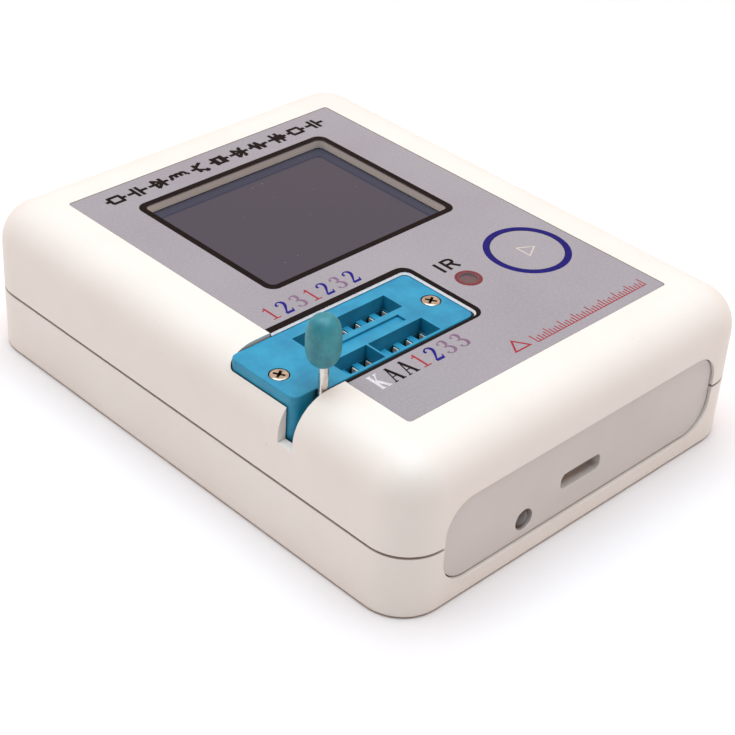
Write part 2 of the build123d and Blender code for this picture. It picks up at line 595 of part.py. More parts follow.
lcd_flex.part.label = "lcd_flex"
export_step(lcd_flex.part, "parts/lcd_flex.step")

# ---------------------------------------------------------------- infrared receiver
with BuildPart() as infrared_window:
    add(rod(INFRARED_X, INFRARED_Y, CEILING_Z, LABEL_BOTTOM, INFRARED_CASE_RADIUS))
infrared_window.part.label = "infrared_window"
export_step(infrared_window.part, "parts/infrared_window.step")

RECEIVER_Z0, RECEIVER_Z1 = BOARD_TOP + 3.4, BOARD_TOP + 7.4
with BuildPart() as infrared_receiver:
    add(block(INFRARED_X - 3, INFRARED_X + 3, INFRARED_Y - 2.6, INFRARED_Y + 2.6, RECEIVER_Z0, RECEIVER_Z1))
    with Locations((INFRARED_X, INFRARED_Y, RECEIVER_Z1)):
        Sphere(2.0)
infrared_receiver.part.label = "infrared_receiver"
export_step(infrared_receiver.part, "parts/infrared_receiver.step")

with BuildPart() as infrared_leads:
    for i in (-1, 0, 1):
        x = INFRARED_X + i * PITCH / 2
        add(block(x - 0.25, x + 0.25, INFRARED_Y - 0.2, INFRARED_Y + 0.2, BOARD_TOP, RECEIVER_Z0))
infrared_leads.part.label = "infrared_leads"
export_step(infrared_leads.part, "parts/infrared_leads.step")

# ---------------------------------------------------------------- chips on top of the board
MCU_X, MCU_Y, MCU_SIZE = 4.0, 12.0, 10.0
with BuildPart() as mcu_chip:
    half = MCU_SIZE / 2
    add(block(MCU_X - half, MCU_X + half, MCU_Y - half, MCU_Y + half, BOARD_TOP + 0.15, BOARD_TOP + 1.3))
    chamfer(mcu_chip.faces().sort_by(Axis.Z)[-1].edges(), length=0.2)
mcu_chip.part.label = "mcu_chip"
export_step(mcu_chip.part, "parts/mcu_chip.step")

LEADS_PER_SIDE = 11
with BuildPart() as mcu_leads:
    reach = MCU_SIZE / 2
    for i in range(LEADS_PER_SIDE):
        along = 0.8 * (i - (LEADS_PER_SIDE - 1) / 2)
        for side in (-1, 1):
            outer, inner = sorted((side * reach, side * (reach + 1.0)))
            z0, z1 = BOARD_TOP, BOARD_TOP + 0.6
            add(block(MCU_X + outer, MCU_X + inner, MCU_Y + along - 0.15, MCU_Y + along + 0.15, z0, z1))
            add(block(MCU_X + along - 0.15, MCU_X + along + 0.15, MCU_Y + outer, MCU_Y + inner, z0, z1))
mcu_leads.part.label = "mcu_leads"
export_step(mcu_leads.part, "parts/mcu_leads.step")

with BuildPart() as crystal_can:
    with BuildSketch(Plane.XY.offset(BOARD_TOP)):
        with Locations((-8.0, 12.0)):
            SlotOverall(11.0, 4.6, rotation=90)
    extrude(amount=3.5)
    fillet(crystal_can.faces().sort_by(Axis.Z)[-1].edges(), radius=0.5)
crystal_can.part.label = "crystal_can"
export_step(crystal_can.part, "parts/crystal_can.step")

with BuildPart() as boost_inductor:
    with BuildSketch(Plane.XY.offset(BOARD_TOP)):
        with Locations((21.8, -29.8)):
            RectangleRounded(5.8, 5.2, 1.6)
    extrude(amount=4.5)
    fillet(boost_inductor.faces().sort_by(Axis.Z)[-1].edges(), radius=0.4)
boost_inductor.part.label = "boost_inductor"
export_step(boost_inductor.part, "parts/boost_inductor.step")

with BuildPart() as electrolytic_capacitors:
    for x in (10.0, 16.0):
        add(rod(x, -30.5, BOARD_TOP, BOARD_TOP + 5.8, 2.5))
    fillet(electrolytic_capacitors.faces().group_by(Axis.Z)[-1].edges(), radius=0.4)
electrolytic_capacitors.part.label = "electrolytic_capacitors"
export_step(electrolytic_capacitors.part, "parts/electrolytic_capacitors.step")

with BuildPart() as voltage_regulator:
    add(block(1.0, 5.5, -32.0, -29.4, BOARD_TOP, BOARD_TOP + 1.5))
    chamfer(voltage_regulator.faces().sort_by(Axis.Z)[-1].edges(), length=0.2)
voltage_regulator.part.label = "voltage_regulator"
export_step(voltage_regulator.part, "parts/voltage_regulator.step")

CHIP_LENGTH, CHIP_WIDTH = 2.0, 1.25
with BuildPart() as chip_resistors:
    with BuildSketch(Plane.XY.offset(BOARD_TOP)):
        with Locations((-20.0, -29.0)):
            with GridLocations(3.4, 2.6, 4, 3):
                Rectangle(CHIP_LENGTH, CHIP_WIDTH)
    extrude(amount=0.5)
chip_resistors.part.label = "chip_resistors"
export_step(chip_resistors.part, "parts/chip_resistors.step")

with BuildPart() as chip_capacitors:
    with BuildSketch(Plane.XY.offset(BOARD_TOP)):
        with Locations((26.5, -6.0)):
            with GridLocations(3.2, 2.8, 2, 4):
                Rectangle(CHIP_LENGTH, CHIP_WIDTH)
    extrude(amount=0.9)
chip_capacitors.part.label = "chip_capacitors"
export_step(chip_capacitors.part, "parts/chip_capacitors.step")

# ---------------------------------------------------------------- under the board
PORT_BACK = PANEL_BACK - 5.6
with BuildPart() as usb_shell:
    with BuildSketch(Plane.XZ.offset(PORT_BACK)):
        with Locations((PORT_X, BOARD_BOTTOM - 1.3)):
            RectangleRounded(7.6, 2.6, 0.6)
    extrude(amount=PANEL_BACK - PORT_BACK)
    with BuildSketch(Plane.XZ.offset(PORT_BACK + 0.4)):
        with Locations((PORT_X, BOARD_BOTTOM - 1.3)):
            RectangleRounded(7.0, 2.0, 0.4)
    extrude(amount=PANEL_BACK - PORT_BACK, mode=Mode.SUBTRACT)
usb_shell.part.label = "usb_shell"
export_step(usb_shell.part, "parts/usb_shell.step")

with BuildPart() as usb_tongue:
    with BuildSketch(Plane.XZ.offset(PORT_BACK + 0.4)):
        with Locations((PORT_X, BOARD_BOTTOM - 1.1)):
            Rectangle(5.6, 0.6)
    extrude(amount=4.0)
usb_tongue.part.label = "usb_tongue"
export_step(usb_tongue.part, "parts/usb_tongue.step")

with BuildPart() as charger_chip:
    add(block(5.5, 10.5, -37.0, -33.0, BOARD_BOTTOM - 1.5, BOARD_BOTTOM))
    chamfer(charger_chip.faces().sort_by(Axis.Z)[0].edges(), length=0.2)
charger_chip.part.label = "charger_chip"
export_step(charger_chip.part, "parts/charger_chip.step")

LAMP_BACK = 38.4
with BuildPart() as charge_lamp:
    with BuildSketch(Plane.XZ.offset(LAMP_BACK)):
        with Locations((LAMP_X, LAMP_Z)):
            Circle(LAMP_RADIUS)
    extrude(amount=PANEL_FACE + 0.1 - LAMP_RADIUS - LAMP_BACK)
    with Locations((LAMP_X, -(PANEL_FACE + 0.1 - LAMP_RADIUS), LAMP_Z)):
        Sphere(LAMP_RADIUS)
    with BuildSketch(Plane.XZ.offset(LAMP_BACK)):
        with Locations((LAMP_X, LAMP_Z)):
            Circle(1.9)
    extrude(amount=1.0)
charge_lamp.part.label = "charge_lamp"
export_step(charge_lamp.part, "parts/charge_lamp.step")

with BuildPart() as lamp_leads:
    for side in (-1, 1):
        x = LAMP_X + side * PITCH / 2 * 0.8
        add(block(x - 0.25, x + 0.25, -LAMP_BACK, -LAMP_BACK + 2.0, LAMP_Z - 0.25, LAMP_Z + 0.25))
        add(block(x - 0.25, x + 0.25, -LAMP_BACK + 1.5, -LAMP_BACK + 2.0, LAMP_Z, BOARD_BOTTOM))
lamp_leads.part.label = "lamp_leads"
export_step(lamp_leads.part, "parts/lamp_leads.step")

# ---------------------------------------------------------------- battery
CELL_X, CELL_Y = 0.0, 8.0
CELL_WIDTH, CELL_LENGTH, CELL_HEIGHT = 25.0, 40.0, 6.0
PAD_THICKNESS = 0.8
with BuildPart() as battery_pad:
    add(
        block(CELL_X - 9, CELL_X + 9, CELL_Y - 15, CELL_Y + 15, FLOOR_Z, FLOOR_Z + PAD_THICKNESS)
    )
battery_pad.part.label = "battery_pad"
export_step(battery_pad.part, "parts/battery_pad.step")

CELL_Z0 = FLOOR_Z + PAD_THICKNESS
with BuildPart() as battery_cell:
    half_width, half_length = CELL_WIDTH / 2, CELL_LENGTH / 2
    add(
        block(CELL_X - half_width, CELL_X + half_width, CELL_Y - half_length, CELL_Y + half_length,
              CELL_Z0, CELL_Z0 + CELL_HEIGHT)
    )
    fillet(battery_cell.edges().filter_by(Axis.Y), radius=2.2)
    fillet(battery_cell.faces().filter_by(Axis.Y).edges(), radius=0.8)
battery_cell.part.label = "battery_cell"
export_step(battery_cell.part, "parts/battery_cell.step")

HEADER_X, HEADER_Y = 0.0, -24.0
HEADER_BOTTOM = BOARD_BOTTOM - 6.0
with BuildPart() as battery_header:
    add(block(HEADER_X - 4, HEADER_X + 4, HEADER_Y - 3, HEADER_Y + 3, HEADER_BOTTOM, BOARD_BOTTOM))
    add(block(HEADER_X - 3.2, HEADER_X + 3.2, HEADER_Y - 2.2, HEADER_Y + 3, HEADER_BOTTOM + 0.8,
              BOARD_BOTTOM - 0.8), mode=Mode.SUBTRACT)
battery_header.part.label = "battery_header"
export_step(battery_header.part, "parts/battery_header.step")

PLUG_Z = (HEADER_BOTTOM + BOARD_BOTTOM) / 2
with BuildPart() as battery_plug:
    add(block(HEADER_X - 3.1, HEADER_X + 3.1, HEADER_Y - 2.0, HEADER_Y + 4.6, HEADER_BOTTOM + 0.9,
              BOARD_BOTTOM - 0.9))
battery_plug.part.label = "battery_plug"
export_step(battery_plug.part, "parts/battery_plug.step")

WIRE_RADIUS = 0.55
WIRE_Y0, WIRE_Y1 = HEADER_Y + 4.6, CELL_Y - CELL_LENGTH / 2


def battery_wire(x):
    """Insulated wire from the plug to the end of the cell, at one side of the middle."""
    with BuildPart() as wire:
        with BuildLine() as path:
            FilletPolyline(
                (x, WIRE_Y0, PLUG_Z),
                (x, WIRE_Y0 + 2.6, PLUG_Z),
                (x, WIRE_Y1 - 2.6, CELL_Z0 + CELL_HEIGHT / 2),
                (x, WIRE_Y1, CELL_Z0 + CELL_HEIGHT / 2),
                radius=1.8,
            )
        with BuildSketch(Plane.XZ.offset(-WIRE_Y0)):
            with Locations((x, PLUG_Z)):
                Circle(WIRE_RADIUS)
        sweep(path=path.wires()[0])
    return wire.part


red_wire = battery_wire(HEADER_X - 1.25)
red_wire.label = "battery_wire_red"
export_step(red_wire, "parts/battery_wire_red.step")

black_wire = battery_wire(HEADER_X + 1.25)
black_wire.label = "battery_wire_black"
export_step(black_wire, "parts/battery_wire_black.step")

# ---------------------------------------------------------------- fasteners
with BuildPart() as case_screws:
    for sx in (-1, 1):
        for sy in (-1, 1):
            x, y = sx * CASE_SCREW_X, sy * CASE_SCREW_Y
            head_bottom = COUNTERBORE_DEPTH - CASE_SCREW_HEAD
            add(rod(x, y, head_bottom, COUNTERBORE_DEPTH, CASE_SCREW_HEAD_RADIUS))
            add(rod(x, y, COUNTERBORE_DEPTH, COUNTERBORE_DEPTH + 15.0, SCREW_CORE_RADIUS))
    fillet(case_screws.faces().group_by(Axis.Z)[0].edges(), radius=0.5)
    with BuildSketch(Plane.XY.offset(COUNTERBORE_DEPTH - CASE_SCREW_HEAD)):
        with GridLocations(2 * CASE_SCREW_X, 2 * CASE_SCREW_Y, 2, 2):
            Rectangle(2.4, 0.55)
            Rectangle(0.55, 2.4)
    extrude(amount=0.9, mode=Mode.SUBTRACT)
case_screws.part.label = "case_screws"
export_step(case_screws.part, "parts/case_screws.step")

with BuildPart() as board_screws:
    for sx in (-1, 1):
        for sy in (-1, 1):
            x, y = sx * BOARD_SCREW_X, sy * BOARD_SCREW_Y
            add(rod(x, y, BOARD_TOP, BOARD_TOP + 1.2, 1.9))
            add(rod(x, y, BOARD_TOP - 6.0, BOARD_TOP, SCREW_CORE_RADIUS))
    fillet(board_screws.faces().group_by(Axis.Z)[-1].edges(), radius=0.4)
    with BuildSketch(Plane.XY.offset(BOARD_TOP + 1.2)):
        with GridLocations(2 * BOARD_SCREW_X, 2 * BOARD_SCREW_Y, 2, 2):
            Rectangle(2.0, 0.45)
            Rectangle(0.45, 2.0)
    extrude(amount=-0.7, mode=Mode.SUBTRACT)
board_screws.part.label = "board_screws"
export_step(board_screws.part, "parts/board_screws.step")
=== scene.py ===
"""Looks of a handheld component tester: materials, label prints, floor, light and camera.

Shape helpers take millimetres in the frame of the CAD part, and meshes are stored in metres.
"""

import math

import bmesh
import bpy
from mathutils import Matrix, Vector


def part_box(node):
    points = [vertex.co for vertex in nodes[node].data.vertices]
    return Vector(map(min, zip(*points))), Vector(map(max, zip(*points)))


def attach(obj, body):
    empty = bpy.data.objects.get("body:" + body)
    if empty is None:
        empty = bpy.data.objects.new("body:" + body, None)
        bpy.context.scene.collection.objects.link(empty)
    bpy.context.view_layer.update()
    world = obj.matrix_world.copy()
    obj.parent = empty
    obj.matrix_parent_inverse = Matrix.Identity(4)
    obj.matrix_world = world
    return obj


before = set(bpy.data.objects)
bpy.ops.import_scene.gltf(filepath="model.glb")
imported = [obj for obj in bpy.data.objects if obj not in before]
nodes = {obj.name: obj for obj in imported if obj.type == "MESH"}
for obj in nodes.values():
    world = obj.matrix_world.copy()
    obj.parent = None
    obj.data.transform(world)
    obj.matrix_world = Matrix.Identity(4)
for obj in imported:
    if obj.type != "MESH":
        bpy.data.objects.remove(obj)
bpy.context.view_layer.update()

MM = 0.001
scene = bpy.context.scene


def corners_mm(node):
    """Lowest and highest corner of a CAD node, in millimetres."""
    low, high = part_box(node)
    return low / MM, high / MM


def middle_mm(node):
    """Middle of a CAD node seen from above, as x and y in millimetres."""
    low, high = corners_mm(node)
    return (low.x + high.x) / 2, (low.y + high.y) / 2


LABEL_LOW, LABEL_HIGH = corners_mm("overlay_label")
KEY_LOW, KEY_HIGH = corners_mm("start_key_membrane")
KEY_X, KEY_Y = middle_mm("start_key_membrane")
KEY_RADIUS = (KEY_HIGH.x - KEY_LOW.x) / 2
INFRARED_X, INFRARED_Y = middle_mm("infrared_window")
LABEL_TOP = LABEL_HIGH.z
SOCKET_TOP = corners_mm("zif_cover")[1].z

# Label prints: heights of their faces, and places as left, right, near and far edge or as x, y
PRINT_BOTTOM = LABEL_TOP - 0.02
PRINT_TOP = LABEL_TOP + 0.012
STAGGER = 0.0008  # rise from one stroke of a character to the next, so that no two top faces coincide
WINDOW_INSIDE, WINDOW_INSIDE_RADIUS = (-17.68, 17.39, -0.28, 27.74), 1.0
WINDOW_OUTSIDE, WINDOW_OUTSIDE_RADIUS = (-18.71, 18.34, -1.29, 28.73), 1.7
BORDER_NEAR, BORDER_FAR, BORDER_RIGHT, BORDER_RADIUS = -23.17, -8.83, -0.33, 1.27
BORDER_OUTER_NEAR, BORDER_OUTER_FAR, BORDER_OUTER_RIGHT, BORDER_OUTER_RADIUS = -23.65, -7.7, 0.5, 1.9
TRIM_NEAR, TRIM_FAR, TRIM_RIGHT, TRIM_RADIUS = -23.2, -8.79, -0.29, 1.3
TRIM_LEAN, TRIM_THICKNESS, TRIM_WRAP = 0.25, 0.05, 62
INFRARED_RING = (1.42, 2.0)
INFRARED_LETTERS = (("I", 3.5), ("R", 4.75))
INFRARED_BASELINE, INFRARED_HEIGHT = -12.9, 2.6
KEY_RING_GAP, KEY_RING_REACH = 0.07, 1.05
TITLE_LEFT, TITLE_BASELINE, TITLE_HEIGHT, TITLE_PITCH, TITLE_COUNT = -21.3, 30.45, 3.0, 3.95, 11
SCALE_LEFT, SCALE_BASELINE, SCALE_PITCH, SCALE_COUNT = 0.6, -32.95, 0.57, 41
SCALE_TICK, SCALE_LINE = 0.2, 0.16
LONG_TICK, EVEN_TICK, ODD_TICK = 1.75, 1.2, 0.9
POINTER = ((-2.2, -30.3), (-0.5, -32.85), (-3.9, -32.85))
POINTER_HOLLOW = 0.68

# Camera: angles in degrees, target in millimetres, distance in metres
CAMERA_AZIMUTH, CAMERA_ELEVATION, CAMERA_ROLL = -46.47, 34.32, 3.93
CAMERA_TARGET = (-7.55, -9.70, 10.5)
CAMERA_DISTANCE = 0.2593
CAMERA_LENS, CAMERA_SENSOR = 89.75, 36

# Floor and light, in metres
FLOOR_REACH, FLOOR_DROP = 3.0, 0.00002
LIGHT_PLACE, LIGHT_SIDE, LIGHT_POWER, LIGHT_COLOUR = (-0.03, 0.0, 0.8), 0.85, 7.35, (0.745, 0.94, 1.075)
WORLD_COLOUR, WORLD_BRIGHT, WORLD_DIM = (1.0, 0.665, 0.465), 0.665, 0.09
WORLD_DIM_SIDE, WORLD_DIM_FROM, WORLD_DIM_TO = (-0.69, -0.69, 0.2), 0.2, 0.95


# ---------------------------------------------------------------- node helpers
def add_map_range(tree, value, low, high, to_low, to_high):
    """Maps a socket's value from one range onto another, and stops at the ends."""
    node = tree.nodes.new("ShaderNodeMapRange")
    for key, number in zip(("From Min", "From Max", "To Min", "To Max"), (low, high, to_low, to_high)):
        node.inputs[key].default_value = number
    tree.links.new(value, node.inputs["Value"])
    return node.outputs["Result"]


class Shader:
    """One material's node tree. The helpers return output sockets."""

    def __init__(self, name):
        self.material = bpy.data.materials.new(name)
        self.material.use_nodes = True
        self.tree = self.material.node_tree
        self.bsdf = self.tree.nodes["Principled BSDF"]
        self.place = self.add("ShaderNodeTexCoord").outputs["Object"]

    def add(self, kind, **settings):
        node = self.tree.nodes.new(kind)
        for key, value in settings.items():
            setattr(node, key, value)
        return node

    def link(self, source, target):
        self.tree.links.new(source, target)

    def stretched(self, x, y, z):
        """Texture coordinates scaled along each axis."""
        node = self.add("ShaderNodeMapping")
        node.inputs["Scale"].default_value = (x, y, z)
        self.link(self.place, node.inputs["Vector"])
        return node.outputs["Vector"]

    def noise(self, scale, detail=3.0, roughness=0.55, vector=None):
        node = self.add("ShaderNodeTexNoise")
        node.inputs["Scale"].default_value = scale
        node.inputs["Detail"].default_value = detail
        node.inputs["Roughness"].default_value = roughness
        self.link(vector or self.place, node.inputs["Vector"])
        return node.outputs["Fac"]

    def cell_edges(self, scale):
        """Distance from the edges of a pattern of cells."""
        node = self.add("ShaderNodeTexVoronoi", feature="DISTANCE_TO_EDGE")
        node.inputs["Scale"].default_value = scale
        self.link(self.place, node.inputs["Vector"])
        return node.outputs["Distance"]

    def remap(self, value, low, high, to_low, to_high):
        return add_map_range(self.tree, value, low, high, to_low, to_high)

    def blend(self, factor, first, second):
        """Mixes two colours. Each is a colour tuple or a socket, and factor is a number or a socket."""
        node = self.add("ShaderNodeMix", data_type="RGBA")
        for value, target in ((factor, node.inputs[0]), (first, node.inputs[6]), (second, node.inputs[7])):
            if isinstance(value, bpy.types.NodeSocket):
                self.link(value, target)
            elif isinstance(value, tuple):
                target.default_value = (*value, 1.0)
            else:
                target.default_value = value
        return node.outputs[2]

    def bump(self, height, depth_mm, strength=1.0, under=None):
        node = self.add("ShaderNodeBump")
        node.inputs["Distance"].default_value = depth_mm * MM
        node.inputs["Strength"].default_value = strength
        self.link(height, node.inputs["Height"])
        if under:
            self.link(under, node.inputs["Normal"])
        return node.outputs["Normal"]

    def crevice(self, reach_mm):
        """0 in grooves and corners, 1 on open surfaces."""
        node = self.add("ShaderNodeAmbientOcclusion", samples=8)
        node.inputs["Distance"].default_value = reach_mm * MM
        return node.outputs["AO"]

    def set(self, **values):
        """Sets the shader's own sockets: a socket is linked, and a number or a colour is put on it."""
        for key, value in values.items():
            target = self.bsdf.inputs[key.replace("_", " ")]
            if isinstance(value, bpy.types.NodeSocket):
                self.link(value, target)
            elif isinstance(value, tuple) and len(value) == 3 and target.type == "RGBA":
                target.default_value = (*value, 1.0)
            else:
                target.default_value = value
        return self.material


def srgb(red, green, blue):
    """Linear colour of an sRGB colour given from 0 to 255."""
    return tuple(
        c / 12.92 if c <= 0.04045 else ((c + 0.055) / 1.055) ** 2.4
        for c in (red / 255, green / 255, blue / 255)
    )


# ---------------------------------------------------------------- materials
def moulded_plastic(name, colour, shade, speck_and_shade_colour, roughness=(0.38, 0.5), grain_mm=0.006, crevice_shade=0.5):
    """Fine-grained moulded plastic with slow mottling, a few dark specks, and painted shade that darkens
    its grooves and corners.
    """
    s = Shader(name)
    mottle = s.remap(s.noise(70, 4), 0.35, 0.65, 0, 1)
    clouds = s.blend(mottle, colour, shade)
    specks = s.remap(s.noise(2300, 1, 0.4), 0.80, 0.84, 0, 0.3)
    dotted = s.blend(specks, clouds, speck_and_shade_colour)
    # Painted shade: grooves and corners, found by ambient occlusion, are darkened towards the speck colour.
    grooves = s.remap(s.crevice(1.2), 0.15, 0.75, crevice_shade, 0)
    grain = s.noise(5200, 2, 0.5)
    waves = s.noise(180, 3, 0.5)
    normal = s.bump(grain, grain_mm, under=s.bump(waves, 0.02, 0.35))
    return s.set(
        Base_Color=s.blend(grooves, dotted, speck_and_shade_colour),
        Roughness=s.remap(s.noise(240, 4), 0.3, 0.7, *roughness),
        Normal=normal,
    )


def satin_film(name, colour, shade):
    """Printed polycarbonate film: an even satin grain, faint clouds and handling smears."""
    s = Shader(name)
    clouds = s.blend(s.remap(s.noise(55, 3), 0.35, 0.65, 0, 1), colour, shade)
    freckles = s.remap(s.noise(2600, 1, 0.5), 0.45, 0.75, 0, 0.07)
    smears = s.noise(90, 5, 0.65, s.stretched(1, 3, 1))
    return s.set(
        Base_Color=s.blend(freckles, clouds, (0.9, 0.9, 0.9)),
        Roughness=s.remap(smears, 0.3, 0.7, 0.36, 0.46),
        Normal=s.bump(s.noise(7000, 2, 0.5), 0.0035),
    )


def printed_ink(name, colour):
    """Screen-printed ink with slight pinholes and uneven cover."""
    s = Shader(name)
    lighter = tuple(min(1.0, c * 1.25 + 0.003) for c in colour)
    cover = s.remap(s.noise(1500, 3), 0.35, 0.7, 0, 1)
    return s.set(
        Base_Color=s.blend(cover, colour, lighter),
        Roughness=s.remap(s.noise(900, 2), 0.3, 0.7, 0.34, 0.48),
        Specular_IOR_Level=0.08,
        Normal=s.bump(s.noise(6000, 2), 0.003),
    )


def socket_plastic(name):
    """Satin blue nylon: mottling, pale scuffs, a moulded grain, and painted shade that darkens its grooves
    and turns its deep wells almost black.
    """
    s = Shader(name)
    base = s.blend(s.remap(s.noise(260, 4), 0.35, 0.65, 0, 1), srgb(22, 136, 176), srgb(36, 156, 194))
    scuffs = s.remap(s.noise(900, 5, 0.7, s.stretched(1.6, 0.7, 1)), 0.58, 0.8, 0, 0.22)
    scuffed = s.blend(scuffs, base, srgb(120, 196, 214))
    # Painted shade: grooves and corners, found by ambient occlusion, are darkened to a deep blue.
    grooves = s.remap(s.crevice(0.8), 0.2, 0.8, 0.45, 0)
    shaded = s.blend(grooves, scuffed, srgb(10, 84, 112))
    # Painted shade: deep wells, found by a wider ambient occlusion, go almost black.
    wells = s.remap(s.crevice(4.0), 0.12, 0.3, 1, 0)
    return s.set(
        Base_Color=s.blend(wells, shaded, srgb(8, 12, 16)),
        Roughness=s.remap(s.noise(500, 4), 0.3, 0.7, 0.4, 0.56),
        Normal=s.bump(s.noise(4200, 3), 0.008),
    )


def knob_plastic(name):
    """Cloudy translucent teal plastic sleeve."""
    s = Shader(name)
    clouds = s.remap(s.noise(420, 4, 0.6), 0.35, 0.68, 0, 1)
    colour = s.blend(clouds, srgb(40, 128, 142), srgb(66, 158, 170))
    return s.set(
        Base_Color=colour,
        Subsurface_Weight=0.55,
        Subsurface_Radius=(0.25, 0.6, 0.8),
        Subsurface_Scale=0.0012,
        Roughness=s.remap(s.noise(700, 3), 0.3, 0.7, 0.36, 0.55),
        Normal=s.bump(s.noise(800, 4), 0.02, 0.8),
    )


def worn_metal(name, colour, tarnish, roughness, recess_rust_and_shade=0.3, stretch=(1, 1, 1), scale=900):
    """Plated metal with fine drawn or brushed marks, slight tarnish, and dark brown in its recesses:
    painted shade, and rust in the screw heads' crosses.
    """
    s = Shader(name)
    marks = s.noise(scale, 5, 0.65, s.stretched(*stretch))
    stain = s.remap(s.noise(500, 4), 0.42, 0.72, 0, 0.7)
    # Recesses, found by ambient occlusion, are darkened to a dark brown: painted shade, and on the screws
    # also rust.
    recess = s.remap(s.crevice(0.7), 0.25, 0.8, recess_rust_and_shade, 0)
    return s.set(
        Base_Color=s.blend(recess, s.blend(stain, colour, tarnish), srgb(52, 34, 22)),
        Metallic=1.0,
        Roughness=s.remap(marks, 0.3, 0.7, *roughness),
        Normal=s.bump(marks, 0.003),
    )


def flecked(name, colour, second, scale=600, roughness=(0.35, 0.55), depth_mm=0.01, metallic=0.0):
    """A general small-part surface: two tones broken up by noise, with a matching bump."""
    s = Shader(name)
    tone = s.noise(scale, 4)
    return s.set(
        Base_Color=s.blend(s.remap(tone, 0.35, 0.65, 0, 1), colour, second),
        Metallic=metallic,
        Roughness=s.remap(s.noise(scale * 1.7, 3), 0.3, 0.7, *roughness),
        Normal=s.bump(s.noise(scale * 4, 3), depth_mm, 0.8),
    )


def screen_film(name):
    """Glossy dark polariser with faint pixel columns, dust and slow thickness waves."""
    s = Shader(name)
    columns = s.add("ShaderNodeTexWave", wave_type="BANDS", bands_direction="X")
    columns.inputs["Scale"].default_value = 900
    columns.inputs["Distortion"].default_value = 0
    s.link(s.place, columns.inputs["Vector"])
    grey = s.blend(columns.outputs["Fac"], srgb(62, 62, 78), srgb(70, 70, 86))
    dust = s.remap(s.noise(1500, 2, 0.5), 0.74, 0.78, 0, 0.35)
    return s.set(
        Base_Color=s.blend(dust, grey, srgb(190, 190, 196)),
        Roughness=s.remap(s.noise(160, 3), 0.3, 0.7, 0.05, 0.10),
        Normal=s.bump(s.noise(120, 2), 0.004, 0.6),
        IOR=1.49,
    )


def circuit_board(name):
    """Green solder mask over copper tracks."""
    s = Shader(name)
    tracks = s.remap(s.cell_edges(420), 0.03, 0.06, 1, 0)
    mask = s.blend(s.remap(s.noise(300, 3), 0.35, 0.65, 0, 1), srgb(14, 78, 46), srgb(20, 96, 56))
    return s.set(
        Base_Color=s.blend(tracks, mask, srgb(60, 130, 70)),
        Roughness=s.remap(s.noise(800, 3), 0.3, 0.7, 0.25, 0.4),
        Normal=s.bump(tracks, 0.03, 0.7),
    )


def smoked_lens(name, colour):
    """Tinted clear resin with slight flow marks."""
    s = Shader(name)
    flow = s.noise(400, 3, 0.5, s.stretched(1, 0.3, 1))
    return s.set(
        Base_Color=s.blend(s.remap(flow, 0.35, 0.65, 0, 1), colour, tuple(c * 1.3 for c in colour)),
        Transmission_Weight=0.35,
        IOR=1.5,
        Roughness=s.remap(flow, 0.3, 0.7, 0.12, 0.22),
        Normal=s.bump(flow, 0.02, 0.5),
    )


# Each slot's maker, with its colours and settings
SLOT_LOOKS = {
    "case_plastic": (moulded_plastic, srgb(246, 240, 234), srgb(243, 237, 230), srgb(128, 108, 98)),
    "panel_plastic": (
        moulded_plastic, srgb(219, 212, 209), srgb(214, 207, 203), srgb(120, 108, 102),
        (0.42, 0.54), 0.004, 0.3,
    ),
    "label_film": (satin_film, srgb(162, 158, 165), srgb(157, 152, 160)),
    "button_plastic": (flecked, srgb(200, 195, 192), srgb(190, 184, 182)),
    "socket_blue": (socket_plastic,),
    "contact_metal": (flecked, srgb(250, 248, 240), srgb(226, 220, 206), 900, (0.3, 0.45), 0.004, 0.25),
    "screw_steel": (worn_metal, srgb(232, 226, 216), srgb(150, 132, 108), (0.2, 0.4), 0.9),
    "lever_steel": (
        worn_metal, srgb(226, 222, 216), srgb(158, 146, 132), (0.16, 0.32), 0.3, (1, 1, 0.08), 2600
    ),
    "knob_plastic": (knob_plastic,),
    "board_green": (circuit_board,),
    "lcd_film": (screen_film,),
    "lcd_glass": (flecked, srgb(74, 76, 84), srgb(84, 86, 94), 200, (0.04, 0.09), 0.002),
    "white_plastic": (flecked, srgb(226, 224, 218), srgb(214, 211, 204), 400),
    "foam": (flecked, srgb(52, 52, 54), srgb(72, 71, 72), 2200, (0.8, 0.95), 0.08),
    "flex_film": (flecked, srgb(168, 98, 34), srgb(188, 118, 48), 700, (0.25, 0.4)),
    "smoked_plastic": (smoked_lens, srgb(122, 94, 98)),
    "black_plastic": (flecked, srgb(34, 34, 36), srgb(46, 46, 48), 1300, (0.45, 0.65)),
    "can_metal": (worn_metal, srgb(206, 206, 204), srgb(150, 148, 142), (0.22, 0.4)),
    "ceramic_black": (flecked, srgb(26, 26, 30), srgb(44, 44, 48), 1600, (0.3, 0.5)),
    "ceramic_tan": (flecked, srgb(164, 128, 92), srgb(182, 146, 108), 1600, (0.3, 0.5)),
    "port_steel": (worn_metal, srgb(196, 192, 186), srgb(132, 124, 112), (0.26, 0.44)),
    "lamp_lens": (smoked_lens, srgb(118, 114, 110)),
    "cell_wrap": (flecked, srgb(186, 188, 192), srgb(206, 208, 212), 350, (0.25, 0.45), 0.02, 0.6),
    "wire_red": (flecked, srgb(176, 28, 26), srgb(196, 44, 38), 900, (0.35, 0.5)),
    "wire_black": (flecked, srgb(22, 22, 24), srgb(38, 38, 40), 900, (0.35, 0.5)),
}
INK_COLOURS = {
    "black": srgb(16, 9, 13),
    "navy": srgb(30, 27, 122),
    "ring_blue": srgb(24, 22, 106),
    "red": srgb(158, 54, 62),
    "ring_red": srgb(122, 56, 62),
    "mauve": srgb(126, 100, 124),
    "white": srgb(236, 234, 238),
    "pale": srgb(208, 205, 212),
    "cream": srgb(206, 194, 184),
}
MATERIALS = {slot: make(slot, *settings) for slot, (make, *settings) in SLOT_LOOKS.items()}
